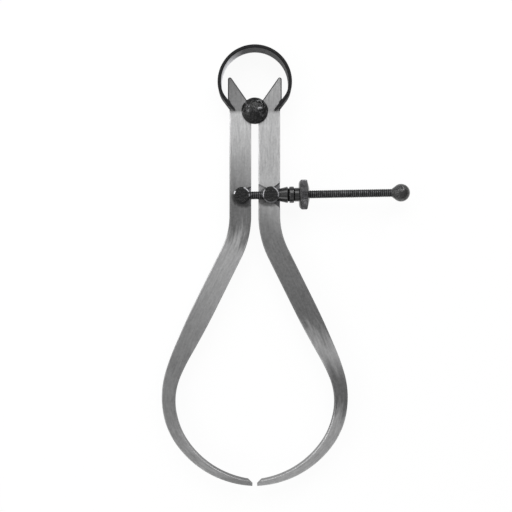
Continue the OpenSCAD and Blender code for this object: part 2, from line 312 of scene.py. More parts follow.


# ground steel of one leg: tones are the brightness at lengths along the leg, partly the tone of the grinding
# and partly painted reflection bands, with painted shade on the horn
def legSteelMaterial(name, v):
    material, tree, shader = newMaterial(name)
    place, wear = objectSpot(tree), wearOf(tree)
    strip = apartXYZ(valueOf(tree, "ShaderNodeUVMap", uv_map="grain"))
    grain = useGroup(tree, brushedGrain, {"Along": strip["X"], "Across": strip["Y"], "Contrast": v.contrast})
    wearAndSheen = useGroup(tree, wearAndSheenEdge, {
        "Vector": place, "Wear": 1.0, "Amount": v.wear, "Patches per metre": v.patches})["Mask"]
    # the bounds of these painted bands run straight across at the fulcrum, and slant and fray further down
    swing = plus(times(strip["Y"], v.slant), times(grain["Fringe"], v.fringe))
    below = ranged(strip["X"], v.swingStart, v.swingEnd, kind="LINEAR")
    along = plus(strip["X"], times(swing, below))
    first, last = v.tones[0][0], v.tones[-1][0]
    ramp = addNode(tree, "ShaderNodeValToRGB", {"Fac": ranged(along, first, last, kind="LINEAR")})
    ramp.color_ramp.interpolation = "EASE"
    while len(ramp.color_ramp.elements) < len(v.tones):
        ramp.color_ramp.elements.new(0.5)
    for element, (length, tone) in zip(ramp.color_ramp.elements, v.tones):
        element.position = (length - first) / (last - first)
        element.color = grey(tone)
    drift = scaled(noiseOf(place, v.driftCells, 3.0), v.drift, 1.0 - v.drift / 2)
    level = times(ramp.outputs[0], grain["Tone"], drift)
    level = plus(level, times(wearAndSheen, v.rubbedLift))
    # the painted shadow round the post darkens the face here
    level = times(level, paintedShadowRound(place, v))
    relief = times(grain["Height"], minus(1.0, wear))
    rough = scaled(relief, v.roughSpread, v.rough)
    tangent = valueOf(tree, "ShaderNodeTangent", direction_type="UV_MAP", uv_map="grain")
    setInputs(tree, shader, {
        "Base Color": tinted(level, v.tint), "Metallic": 1.0,
        "Roughness": plus(rough, times(wear, v.edgeDull)),
        "Anisotropic": v.anisotropy, "Anisotropic Rotation": v.anisotropyTurn,
        "Specular Tint": grey(v.edgeTint), "Tangent": tangent,
        "Normal": bumped(relief, v.bump, v.bumpDepth)})
    return material


oxide = Values(
    tone=0.022, mottle=0.6, tint=1.04, rough=0.34, roughSpread=0.16, bump=0.6, bumpDepth=0.0003, tooth=0.08,
    dents=0.8, dentCount=1100.0, rings=5000.0, ringDepth=0.12, wear=0.42, patches=900.0, rubbedTone=0.2,
    rubbedMetal=1.0, gloss=0.3)


# black oxide steel with a finish of its own: place turns the lathe rings round the axis of the piece
def blackOxideMaterial(name, finish, place=None):
    v = Values(oxide, **finish)
    material, tree, shader = newMaterial(name)
    spot = objectSpot(tree)
    mottle = useGroup(tree, oxideMottle, {"Vector": spot, "Dents per metre": v.dentCount})
    wearAndSheen = useGroup(tree, wearAndSheenEdge, {
        "Vector": spot, "Wear": wearOf(tree), "Amount": v.wear, "Patches per metre": v.patches})["Mask"]
    level = scaled(mottle["Tone"], v.tone * v.mottle, v.tone * (1 - v.mottle))
    # worn places are lifted brighter here, and on some pieces painted highlights and painted reflections
    level = plus(level, times(wearAndSheen, v.rubbedTone))
    height = plus(times(mottle["Tooth"], v.tooth), times(mottle["Dents"], v.dents))
    if place is not None:
        turned = valueOf(tree, "ShaderNodeMapping", {
            "Vector": spot, "Location": place.to_translation(), "Rotation": place.to_euler()},
            vector_type="TEXTURE")
        rings = useGroup(tree, turnedRings, {"Vector": turned, "Rings per metre": v.rings})["Height"]
        height = plus(height, times(rings, v.ringDepth))
        level = times(level, plus(rings, 0.5))
    setInputs(tree, shader, {
        "Base Color": tinted(level, v.tint), "Metallic": times(wearAndSheen, v.rubbedMetal),
        "Roughness": scaled(mottle["Tooth"], v.roughSpread, v.rough - v.roughSpread / 2),
        "Specular IOR Level": v.gloss, "Normal": bumped(height, v.bump, v.bumpDepth)})
    return material


print("shader groups ready")

# mesh helpers
meshCare = Values(merge=2e-7, sliver=1e-7, sharpAngle=38, normalWeight=80, circleStart=0.37)


def addObject(name, mesh, *materials):
    obj = bpy.data.objects.new(name, mesh)
    for material in materials:
        mesh.materials.append(material)
    scene.collection.objects.link(obj)
    return obj


def freeze(obj):
    depsgraph = bpy.context.evaluated_depsgraph_get()
    mesh = bpy.data.meshes.new_from_object(
        obj.evaluated_get(depsgraph), preserve_all_data_layers=True, depsgraph=depsgraph)
    old = obj.data
    obj.modifiers.clear()
    obj.data = mesh
    bpy.data.meshes.remove(old)
    mesh.name = obj.name
    return obj


def boolean(obj, cutter, operation="DIFFERENCE"):
    modifier = obj.modifiers.new("boolean", "BOOLEAN")
    modifier.operation = operation
    modifier.solver = "EXACT"
    modifier.object = cutter
    freeze(obj)
    bpy.data.objects.remove(cutter)


# joins seams left by the cuts and fills pinholes, then turns the faces outwards
def closeSeams(obj):
    bm = bmesh.new()
    bm.from_mesh(obj.data)
    bmesh.ops.remove_doubles(bm, verts=bm.verts, dist=meshCare.merge)
    bmesh.ops.dissolve_degenerate(bm, dist=meshCare.sliver, edges=bm.edges)
    bmesh.ops.holes_fill(bm, edges=[e for e in bm.edges if len(e.link_faces) == 1], sides=0)
    bmesh.ops.recalc_face_normals(bm, faces=bm.faces)
    bm.to_mesh(obj.data)
    bm.free()


def shade(obj, angle):
    closeSeams(obj)
    obj.data.shade_smooth()
    obj.data.set_sharp_from_angle(angle=radians(angle))
    modifier = obj.modifiers.new("weightedNormal", "WEIGHTED_NORMAL")
    modifier.keep_sharp = True
    modifier.weight = meshCare.normalWeight
    freeze(obj)


def meshFrom(bm, name, place):
    bmesh.ops.recalc_face_normals(bm, faces=bm.faces)
    bm.transform(place)
    mesh = bpy.data.meshes.new(name)
    bm.to_mesh(mesh)
    bm.free()
    return mesh


def shareOf(value, low, high):
    return min(1.0, max(0.0, (value - low) / (high - low)))


# sets the wear of each point from its place, in the piece's own millimetres, and the wear it has
def setWear(obj, place, level):
    if "wear" not in obj.data.attributes:
        obj.data.attributes.new("wear", "FLOAT", "POINT")
    inverse = place.inverted()
    for vert, wear in zip(obj.data.vertices, obj.data.attributes["wear"].data):
        wear.value = level(inverse @ vert.co, wear.value)


# moves every edge of an outline inwards, for an outline that runs either way round
def insetOutline(outline, depth, leastTurn=0.3):
    points = [Vector(p) for p in outline]
    area = sum(p.cross(q) for p, q in zip(points, points[1:] + points[:1]))
    turn = copysign(1.0, area)
    inset = []
    for before, here, after in zip(points[-1:] + points, points, points[1:] + points[:1]):
        first, second = (here - before).normalized(), (after - here).normalized()
        inward = (first.orthogonal() + second.orthogonal()).normalized() * turn
        inset.append(here + inward * depth / max(leastTurn, abs(inward.dot(first.orthogonal()))))
    return inset


def prismMesh(name, outline, low, high, place=atFulcrum, index=0, chamfer=0.0, sideIndex=None):
    inner = insetOutline(outline, chamfer) if chamfer else outline
    layers = [(inner, low), (outline, low + chamfer), (outline, high - chamfer), (inner, high)]
    if not chamfer:
        layers = layers[1:3]
    bm = bmesh.new()
    rings = [[bm.verts.new((x, y, z)) for x, y in points] for points, z in layers]
    for bottom, top in zip(rings, rings[1:]):
        for i in range(len(bottom)):
            side = bm.faces.new((bottom[i - 1], bottom[i], top[i], top[i - 1]))
            side.material_index = index if sideIndex is None else sideIndex
    for ends in (rings[0][::-1], rings[-1]):
        bm.faces.new(ends).material_index = index
    return meshFrom(bm, name, place)


def cut(obj, outline, low, high, place=atFulcrum, index=0):
    boolean(obj, addObject("cutter", prismMesh("cutter", outline, low, high, place, index)))


# the first point lies off the axes, where cuts meet
def circle(radius, steps=72, centre=(0, 0)):
    turns = [2 * pi * (i + meshCare.circleStart) / steps for i in range(steps)]
    return [(centre[0] + radius * cos(t), centre[1] + radius * sin(t)) for t in turns]


def boxOutline(corner, angle, x0, y0, x1, y1):
    c, s = cos(angle), sin(angle)
    spots = ((x0, y0), (x1, y0), (x1, y1), (x0, y1))
    return [(corner[0] + c * x - s * y, corner[1] + s * x + c * y) for x, y in spots]


def sided(outline, side):
    return [(side * x, y) for x, y in outline]


# corners given as (radius, height, rounding) become an outline of (radius, height, wear)
def roundedProfile(corners, closed=False, steps=4, fade=0.07, most=0.49):
    points, count = [], len(corners)
    for i, (r, z, rounding) in enumerate(corners):
        here = Vector((r, z))
        if not rounding or (not closed and i in (0, count - 1)):
            points.append((r, z, 0.0))
            continue
        before = Vector(corners[i - 1][:2]) - here
        after = Vector(corners[(i + 1) % count][:2]) - here
        half = before.angle(after) / 2
        back = min(rounding / tan(half), most * before.length, most * after.length)
        convex = before.x * after.y - before.y * after.x < 0
        start, end = here + before.normalized() * back, here + after.normalized() * back
        centre = here + (before.normalized() + after.normalized()).normalized() * back / cos(half)
        first, last = start - centre, end - centre
        begin = atan2(first.y, first.x)
        sweep = remainder(atan2(last.y, last.x) - begin, 2 * pi)
        turns = [begin + sweep * k / steps for k in range(steps + 1)]
        r = first.length
        arc = [(centre.x + r * cos(t), centre.y + r * sin(t), float(convex)) for t in turns]
        # beside a rubbed edge, the wear fades over a narrow band
        if convex and before.length > 2 * (back + fade):
            arc.insert(0, (*(start + before.normalized() * fade), 0.0))
        if convex and after.length > 2 * (back + fade):
            arc.append((*(end + after.normalized() * fade), 0.0))
        points += arc
    return points


def turnedMesh(name, profile, place, around=96, closed=False):
    bm = bmesh.new()
    wearLayer = bm.verts.layers.float.new("wear")
    rings = []
    for radius, height, wear in profile:
        if radius < 1e-6:
            ring = [bm.verts.new((0, 0, height))] * around
        else:
            ring = [bm.verts.new((x, y, height)) for x, y in circle(radius, around)]
        for vert in set(ring):
            vert[wearLayer] = wear
        rings.append(ring)
    pairs = list(zip(rings, rings[1:])) + ([(rings[-1], rings[0])] if closed else [])
    for low, high in pairs:
        for i in range(around):
            j = (i + 1) % around
            corners = list(dict.fromkeys((low[i], low[j], high[j], high[i])))
            if len(corners) > 2:
                bm.faces.new(corners)
    return meshFrom(bm, name, place)


def finishPiece(obj, body, node, angle=meshCare.sharpAngle):
    if angle:
        shade(obj, angle)
    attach(obj, body)
    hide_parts(node)
    print(obj.name, "with", len(obj.data.polygons), "faces")


# legs: flat stock along a middle line of two straights and four curves, with an eased taper
legShape = Values(
    reach=150.0, width=8.7, thickness=4.8, gap=2.9, tipGap=1.8, bellyReach=34.6, bendRadius=34.4,
    flankAngle=26.4, browRadius=79.0, browAngle=7.0, bellyRadius=30.3, bellyAngle=55.0, toeAngle=85.8,
    taperStart=82.0, taperEnd=130.0, taperWidth=4.9, tipWidth=1.9, tipFace=0.3, reliefAngle=45.0,
    edgeRound=0.36, edgeShare=0.1, edgeSteps=4, edgeFade=0.08, straightSteps=24, flankSteps=20, curveSteps=28)
hornShape = Values(thickness=2.4, angle=35.0, hookStep=0.65, tipRadius=0.8, tipSteps=10, foot=0.5, chamfer=0.42)
pocketShape = Values(
    postRadius=2.55, studRadius=3.25, slotHalf=1.78, swivel=26.5, room=0.15, over=0.5, innerFloor=-0.337,
    outerFloor=-1.4, cutHalf=4)
# cutter for the tip: from and to along its lower side, height off it, half thickness
reliefCutter = Values(start=-2, end=6, height=8, half=3)
coneShape = Values(start=2.23, length=4.75, smallRadius=2.2, largeRadius=3.3, chamfer=0.4, bore=1.69, round=0.1)
bowShape = Values(
    radius=14.8, thickness=1.35, width=11.0, height=11.35, endRadius=9.5, endStart=9.0, endAngle=37.3,
    endOver=0.5, prongBevel=58.0, prongReach=8.0, seat=0.12, slotPlay=0.15, edgeRound=0.25, edgeCount=4,
    steps=90, endSteps=30, keep=0.744, rubStart=38.0, rubEnd=72.0, rubFoot=(-20, 5), rubEdge=0.9, frontRub=0.6,
    innerRub=0.05)


def legStations(v):
    flank = radians(v.flankAngle)
    bellyIn = flank - radians(v.browAngle)
    bellyOut = bellyIn - radians(v.bellyAngle)
    toe = radians(v.toeAngle)
    bend, brow, belly = v.bendRadius, v.browRadius, v.bellyRadius
    middle, tipSide = (v.gap + v.width) / 2, v.tipGap / 2
    outward = (v.bellyReach - middle - bend * (1 - cos(flank))
               - brow * (cos(bellyIn) - cos(flank)) - belly * (1 - cos(bellyIn)))
    flankLength = outward / sin(flank)
    toeStart = v.bellyReach - belly + belly * cos(bellyOut)
    toeRadius = (toeStart - tipSide) / (cos(bellyOut) - cos(toe))
    drop = (bend * sin(flank) + flankLength * cos(flank)
            + brow * (sin(flank) - sin(bellyIn))
            + belly * (sin(bellyIn) - sin(bellyOut))
            + toeRadius * (sin(bellyOut) + sin(toe)))
    upper = v.reach - drop - v.tipWidth / 2
    # each run has its length, the turn over it and a number of steps, and headings are from straight down
    runs = [(upper, 0.0, v.straightSteps), (bend * flank, flank, v.curveSteps),
            (flankLength, 0.0, v.flankSteps),
            (brow * (flank - bellyIn), bellyIn - flank, v.curveSteps // 2),
            (belly * (bellyIn - bellyOut), bellyOut - bellyIn, v.curveSteps * 2),
            (toeRadius * (toe + bellyOut), -toe - bellyOut, v.curveSteps * 2)]
    point, heading, length = Vector((middle, 0)), 0.0, 0.0
    stations = [(point.copy(), heading, length)]
    for runLength, turn, steps in runs:
        for i in range(steps):
            piece, swing = runLength / steps, turn / steps
            chord = piece * sin(swing / 2) / (swing / 2) if swing else piece
            way = heading + swing / 2
            point = point + chord * Vector((sin(way), -cos(way)))
            heading += swing
            length += piece
            stations.append((point.copy(), heading, length))
    return stations


def legWidth(v, length, total):
    t = shareOf(length, v.taperStart, v.taperEnd)
    return (v.width + (v.taperWidth - v.width) * t * t * (3 - 2 * t)
            + (v.tipWidth - v.taperWidth) * shareOf(length, v.taperEnd, total))


# rounded section as (across, up, distance round it from the middle of the front, wear)
def legSection(v, width):
    a, b, c = width / 2, v.thickness / 2, min(v.edgeRound, v.edgeShare * width)
    corners = ((-a + c, b - c, 180), (a - c, b - c, 90), (a - c, c - b, 0), (c - a, c - b, -90))
    points = []
    for x, z, start in corners:
        turns = [radians(start - 90 * k / v.edgeSteps) for k in range(v.edgeSteps + 1)]
        arc = [Vector((x + c * cos(t), z + c * sin(t))) for t in turns]
        before = Vector((sin(turns[0]), -cos(turns[0]))) * -v.edgeFade
        after = Vector((sin(turns[-1]), -cos(turns[-1]))) * v.edgeFade
        points += [(*(arc[0] + before), 0.0)] + [(*p, 1.0) for p in arc] + [(*(arc[-1] + after), 0.0)]
    run, section = -a + c - pi * c / 2 - v.edgeFade, []
    for i, (x, z, wear) in enumerate(points):
        if i:
            run += hypot(x - points[i - 1][0], z - points[i - 1][1])
        section.append((x, z, run, wear))
    return section


def legMesh(name, v, side):
    stations = legStations(v)
    total = stations[-1][2]
    bm = bmesh.new()
    uvLayer = bm.loops.layers.uv.new("grain")
    wearLayer = bm.verts.layers.float.new("wear")
    rows = []
    for point, heading, length in stations:
        across = Vector((cos(heading), sin(heading)))
        row = []
        for x, z, run, wear in legSection(v, legWidth(v, length, total)):
            at = point + across * x
            vert = bm.verts.new((side * at.x, at.y, z))
            vert[wearLayer] = wear
            row.append((vert, (length, run)))
        rows.append(row)
    for low, high in zip(rows, rows[1:]):
        around = low[-1][1][1] + v.thickness
        for k in range(len(low)):
            n = (k + 1) % len(low)
            corners = [low[k], low[n], high[n], high[k]]
            face = bm.faces.new([vert for vert, spot in corners])
            for loop, (vert, (length, run)) in zip(face.loops, corners):
                closing = n == 0 and vert in (low[0][0], high[0][0])
                loop[uvLayer].uv = (length, around if closing else run)
    for row, order in ((rows[0], 1), (rows[-1], -1)):
        face = bm.faces.new([vert for vert, spot in row][::order])
        for loop in face.loops:
            loop[uvLayer].uv = (loop.vert.co.x, loop.vert.co.z)
    return meshFrom(bm, name, atFulcrum)


# where the straight end of the bow lies against the hook of the horn
def bowEnd(v):
    start, end = radians(v.endStart), radians(v.endAngle)
    shift = (v.radius - v.endRadius) * Vector((cos(start), -sin(start)))
    centre = Vector((0, v.height)) + shift
    return centre, Vector((cos(end), -sin(end))), Vector((sin(end), cos(end)))


def hookHeight(x):
    centre, out, up = bowEnd(bowShape)
    inside = centre + (bowShape.endRadius - bowShape.thickness - bowShape.seat) * out
    return inside.y + (x - inside.x) * up.y / up.x


def hornOutline(v, h):
    inner, outer = v.gap / 2, v.gap / 2 + v.width
    hornOuter = outer + h.hookStep
    angle, r = radians(h.angle), h.tipRadius
    tipX = hornOuter - r
    tipY = (tipX * cos(angle) - r) / sin(angle)
    sweep = pi - angle
    turns = [sweep - sweep * i / h.tipSteps for i in range(h.tipSteps + 1)]
    tip = [(tipX + r * cos(t), tipY + r * sin(t)) for t in turns]
    return [(0, 0)] + tip + [(hornOuter, hookHeight(hornOuter)), (outer, hookHeight(outer)),
                             (outer, -h.foot), (inner, -h.foot), (inner, 0)]


def hornMesh(side, sideIndex):
    half = hornShape.thickness / 2
    outline = sided(hornOutline(legShape, hornShape), side)
    # the sides of the horn take the near-black finish: painted shade along its edges
    mesh = prismMesh("horn", outline, -half, half, chamfer=hornShape.chamfer, sideIndex=sideIndex)
    uv = mesh.uv_layers.new(name="grain").data
    middle = side * (legShape.gap + legShape.width) / 2
    for loop in mesh.loops:
        spot = (mesh.vertices[loop.vertex_index].co - fulcrum) / mm
        uv[loop.index].uv = (-spot.y, side * (spot.x - middle) + spot.z)
    return mesh


def pocketOutline(point, turn, reach, halfStart, halfEnd):
    corners = ((0, -halfStart), (reach, -halfEnd), (reach, halfEnd), (0, halfStart))
    return [(point.x + turn * x, point.y + turn * y) for x, y in corners]


# room for the swing of the screw
def screwPocket(point, turn, reach, v):
    swivel = radians(v.swivel)
    wide = v.slotHalf / cos(swivel)
    return pocketOutline(point, turn, reach, wide, wide + reach * tan(swivel))


# room for the swing of the cone
def conePocket(point, reach, v, c):
    swivel = radians(v.swivel)
    rise = (c.largeRadius - c.smallRadius) / (c.length - c.chamfer)
    radiusAt = lambda x: c.smallRadius + rise * (x - c.start)
    near = c.start * sin(swivel) + c.smallRadius * cos(swivel)
    nearAt = c.start * cos(swivel) - c.smallRadius * sin(swivel)
    farOn = (reach + radiusAt(reach / cos(swivel)) * sin(swivel)) / cos(swivel)
    far = farOn * sin(swivel) + radiusAt(farOn) * cos(swivel)
    slope = (far - near) / (reach - nearAt)
    return pocketOutline(point, 1, reach + v.over, near - slope * nearAt + v.room,
                         far + slope * v.over + v.room)


legSteel = Values(
    contrast=1.2, fringe=24.0, slant=-0.6, swingStart=4.0, swingEnd=25.0, drift=0.22, driftCells=150.0,
    wear=0.55, patches=900.0, rubbedLift=0.05, tint=1.005, rough=0.30, roughSpread=0.08, bump=0.25,
    bumpDepth=0.00003, anisotropy=0.5, anisotropyTurn=0.25, edgeTint=0.35, edgeDull=0.32, grimeStart=3.2,
    grimeEnd=4.5, grimeFray=0.8, grimeCells=900.0, grimeTone=0.38, grimeDrop=0.8, grimeShift=1.0,
    grimeSqueeze=0.78)
# how bright the leg is painted at lengths along it, from the horn to the tip: the tone of the grinding with
# painted reflection bands and painted shade on the horn
legToneAndSheen = {
    "leftLeg": ((-16, 0.19), (-0.3, 0.34), (1.2, 0.70), (42, 0.20), (47, 0.21), (56, 0.52), (110, 0.28),
                (155, 0.42), (168, 0.32)),
    "rightLeg": ((-16, 0.46), (-0.3, 0.47), (1.2, 0.66), (26, 0.62), (54, 0.24), (86, 0.20), (102, 0.50),
                 (116, 0.18), (122, 0.17), (131, 0.50))}
# the pockets and holes take a darker finish and the horn's sides a near-black one: painted shade
pocketShadeFinish = Values(tone=0.36, rough=0.5, dents=0.3, wear=0.0)
hornEdgeShadeFinish = Values(pocketShadeFinish, tone=0.04)
steelFace, darkFace, hornEdge = 0, 1, 2  # material slots of a leg


# cuts leave stray wear on their own corners, so along the straight part only the edges keep it, above the
# fulcrum none is kept, and further down it stays as it is
def settleWear(leg, side, v, play=1e-3):
    straight = legStations(v)[v.straightSteps][2]
    middle = side * (v.gap + v.width) / 2
    edge = v.edgeRound + v.edgeFade / 2

    def settled(spot, wear):
        inside = abs(spot.x - middle) < v.width / 2 - edge or abs(spot.z) < v.thickness / 2 - edge
        return 0.0 if spot.y > play or (spot.y > -straight and inside) else wear

    setWear(leg, atFulcrum, settled)


def buildLeg(name, side, node, body, post, pockets):
    # the painted shadow is centred below the post and shifted towards the gap
    shadowCentre = Vector((post.x - side * legSteel.grimeShift, post.y - legSteel.grimeDrop, 0))
    own = {"tones": legToneAndSheen[name], "slant": legSteel.slant * side, "post": (fulcrum + shadowCentre * mm).xy}
    steel = legSteelMaterial(name + "Steel", Values(legSteel, **own))
    finishes = (steel, blackOxideMaterial(name + "Pocket", pocketShadeFinish),
                blackOxideMaterial(name + "HornEdge", hornEdgeShadeFinish))
    leg = addObject(name, legMesh(name, legShape, side), *finishes)
    boolean(leg, addObject("horn", hornMesh(side, hornEdge), *finishes), "UNION")
    box, through = reliefCutter, pocketShape.cutHalf
    tip = (legShape.tipGap / 2, legShape.tipFace - legShape.reach)
    relief = boxOutline(tip, radians(90 - legShape.reliefAngle), box.start, 0, box.end, box.height)
    cut(leg, sided(relief, side), -box.half, box.half, index=steelFace)
    # holes and pockets take the darker finish, as painted shade, except where the steel slot is given
    cut(leg, circle(pocketShape.studRadius), -through, through, index=darkFace)
    for floor, outline, index in pockets:
        cut(leg, outline, pocketShape[floor], through, index=index)
    cut(leg, circle(pocketShape.postRadius, centre=post.xy), -through, through, index=darkFace)
    settleWear(leg, side, legShape)
    finishPiece(leg, body, node)


anchorReach = pocketShape.over - legShape.gap / 2 - anchorPoint.x
guideReach = pocketShape.over + guidePoint.x - legShape.gap / 2
outerReach = legShape.gap / 2 + legShape.width - guidePoint.x
buildLeg("leftLeg", -1, "left_leg", "left_leg", anchorPoint, [
    ("innerFloor", screwPocket(anchorPoint, 1, anchorReach, pocketShape), darkFace)])
buildLeg("rightLeg", 1, "right_leg", "right_leg", guidePoint, [
    ("innerFloor", screwPocket(guidePoint, -1, guideReach, pocketShape), steelFace),
    ("outerFloor", conePocket(guidePoint, outerReach, pocketShape, coneShape), darkFace)])


# geometry trees end with their instances made real and the finish put on
def endTree(tree, geometry, given, out):
    real = valueOf(tree, "GeometryNodeRealizeInstances", {"Geometry": geometry})
    done = valueOf(tree, "GeometryNodeSetMaterial", {"Geometry": real, "Material": given["Finish"]})
    return giveOut(tree, out, Geometry=done)


def grow(name, baseMesh, tree, values):
    obj = addObject(name, baseMesh)
    modifier = obj.modifiers.new(tree.name, "NODES")
    modifier.node_group = tree
    for item in tree.interface.items_tree:
        if item.in_out == "INPUT" and item.name in values:
            modifier[item.identifier] = values[item.name]
    return freeze(obj)


def pathMesh(name, points):
    mesh = bpy.data.meshes.new(name)
    mesh.from_pydata(points, [(i, i + 1) for i in range(len(points) - 1)], [])
    return mesh


# bow: a spring band swept along its middle line, forked over the horns
def springBandTree():
    tree, given, out = newTree("springBand", "GeometryNodeTree", {
        "Path": "Geometry", "Thickness": "Float", "Width": "Float", "Edge round": "Float", "Edge count": "Int",
        "Finish": "Material"}, {"Geometry": "Geometry"})
    path = valueOf(tree, "GeometryNodeMeshToCurve", {"Mesh": given["Path"]})
    turned = valueOf(tree, "GeometryNodeSetCurveNormal", {"Curve": path}, mode="Z_UP")
    section = valueOf(tree, "GeometryNodeCurvePrimitiveQuadrilateral", {
        "Width": given["Thickness"], "Height": given["Width"]})
    soft = valueOf(tree, "GeometryNodeFilletCurve", {
        "Curve": section, "Radius": given["Edge round"], "Count": given["Edge count"]}, mode="POLY")
    band = valueOf(tree, "GeometryNodeCurveToMesh", {
        "Curve": turned, "Profile Curve": soft, "Fill Caps": True})
    return endTree(tree, band, given, out)


# on the bow the bright wear is a painted reflection on the inner face
bowBlack = Values(
    tone=0.019, rough=0.50, bump=0.3, dents=0.2, mottle=0.25, rings=1500.0, ringDepth=0.2, wear=0.9,
    patches=400.0, rubbedTone=0.85, gloss=0.03)


def bowPath(v):
    centre, out, up = bowEnd(v)
    start, end = radians(v.endStart), radians(v.endAngle)
    depth, half = v.thickness / 2, []
    for i in range(v.steps + 1):
        a = pi / 2 - (pi / 2 + start) * i / v.steps
        half.append(Vector((0, v.height)) + (v.radius - depth) * Vector((cos(a), sin(a))))
    for i in range(1, v.endSteps + 1):
        a = -start - (end - start) * i / v.endSteps
        half.append(centre + (v.endRadius - depth) * Vector((cos(a), sin(a))))
    length = (centre.y + v.endRadius * out.y) / up.y + v.endOver
    half.append(centre + (v.endRadius - depth) * out - length * up)
    return [(-p.x, p.y, 0) for p in half[:0:-1]] + [(p.x, p.y, 0) for p in half], length


def buildBow(v, h):
    points, length = bowPath(v)
    finish = blackOxideMaterial("bowBlack", bowBlack, atFulcrum @ Matrix.Translation((0, v.height, 0)))
    bow = grow("bowSpring", pathMesh("bowPath", points), springBandTree(), {
        "Thickness": v.thickness, "Width": v.width, "Edge round": v.edgeRound,
        "Edge count": v.edgeCount, "Finish": finish})
    bow.data.transform(atFulcrum)
    centre, out, up = bowEnd(v)
    outer = legShape.gap / 2 + legShape.width
    slotTop = (Vector((outer, hookHeight(outer))) - centre).dot(up) + v.seat
    slot = boxOutline(centre, -radians(v.endAngle), 0, -2 * length, 2 * v.endRadius, slotTop)
    below = boxOutline((0, v.seat - v.radius), 0, -1, 0, v.radius, v.radius)
    chisel = boxOutline((v.prongReach, v.seat), radians(90 - v.prongBevel), 0, -v.radius, v.radius, 0)
    slotHalf = h.thickness / 2 + v.slotPlay
    for side in (1, -1):
        for outline, half in ((slot, slotHalf), (below, v.width), (chisel, v.width)):
            cut(bow, sided(outline, side), -half, half)

    # painted reflection: the inner face is painted bright at the left, more behind than in front
    def wearAndSheen(spot, wear):
        reach = spot.xy - Vector((0, v.height))
        turn = degrees(atan2(reach.y, -reach.x))
        front = v.width / 2 - v.rubEdge * v.edgeRound
        if reach.length >= v.radius - v.thickness / 2 or spot.z >= front:
            return 0.0
        share = min(shareOf(turn, v.rubEnd, v.rubStart), shareOf(turn, *v.rubFoot))
        return max(share * (1.0 if spot.z < 0 else v.frontRub), v.innerRub)

    setWear(bow, atFulcrum, wearAndSheen)
    finishPiece(bow, "bow", "bow_spring")
    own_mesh(bow)


buildBow(bowShape, hornShape)


# keeps the wear of a head to a few arcs, worn edges with painted highlights, with little of it under the head
def wearAndSheenArcs(obj, place, under, rubs, core=0.6, below=0.2):
    def wearAndSheen(spot, wear):
        turn = degrees(atan2(spot.y, spot.x))
        away = lambda at: abs(remainder(turn - at, 360))
        level = max(share * shareOf(away(at), spread, spread * core) for at, spread, share in rubs)
        return wear * (level if spot.z > under else below)

    setWear(obj, place, wearAndSheen)


# fulcrum stud: a spool with two domed heads
studShape = Values(
    waist=3.2, head=5.3, back=4.4, under=2.5, rim=0.9, dome=2.6, round=0.3, waistRound=0.1, underRound=0.12,
    domeSteps=22, scuff=0.7)
studBlack = Values(
    tone=0.007, rough=0.16, bump=1.0, dents=1.6, dentCount=950.0, rings=3600.0, ringDepth=0.03, wear=0.31,
    patches=800.0, rubbedTone=0.6, gloss=0.3)
# arcs painted bright, worn edges with painted highlights: direction and half spread in degrees, share
studArcsOfWearAndSheen = ((62, 62, 1.0), (165, 40, 1.0), (330, 60, 0.3))


def studHead(v, radius):
    rim = v.under + v.rim
    ball = (radius ** 2 + v.dome ** 2) / (2 * v.dome)
    edge = asin(radius / ball)
    low = rim + v.dome - ball
    turns = [edge * (1 - k / v.domeSteps) for k in range(1, v.domeSteps + 1)]
    corners = [(v.waist, 0, 0), (v.waist, v.under, v.waistRound),
               (radius, v.under, v.underRound), (radius, rim, v.round)]
    dome = [(ball * sin(t), low + ball * cos(t), v.scuff) for t in turns]
    return roundedProfile(corners + [(*dome[0][:2], 0)])[1:-1] + dome


def buildStud(v):
    front, back = studHead(v, v.head), studHead(v, v.back)
    profile = [(r, -z, wear) for r, z, wear in back[::-1]] + front
    stud = addObject("fulcrumStud", turnedMesh("fulcrumStud", profile, atFulcrum),
                     blackOxideMaterial("studBlack", studBlack, atFulcrum))
    wearAndSheenArcs(stud, atFulcrum, v.under, studArcsOfWearAndSheen)
    finishPiece(stud, "stud", "fulcrum_stud")


buildStud(studShape)

# posts: chamfered head in front, plain end behind, bored across for the screw
postShape = Values(
    radius=2.5, under=4.014, head=3.3, height=1.2, chamfer=0.45, back=-2.8, backChamfer=0.2, round=0.08,
    rubWidth=0.1, seat=2.2, seatOver=0.1, seatDrop=0.01, boreEnd=6, boreSteps=48)
postBlack = Values(
    tone=0.011, rough=0.30, bump=0.9, dents=1.2, dentCount=1300.0, rings=5200.0, wear=0.8, patches=500.0,
    rubbedTone=0.6, rubbedMetal=0.4, gloss=0.22)
# bright arcs on the post heads: worn chamfers with painted highlights
anchorSet = Values(boreStart=-1.82, bore=1.65, rubs=((50, 30, 0.6), (158, 14, 1.0), (0, 12, 0.5)))
guideSet = Values(boreStart=-6, bore=1.69, rubs=((168, 36, 0.5), (25, 50, 0.5), (265, 60, 0.2)))


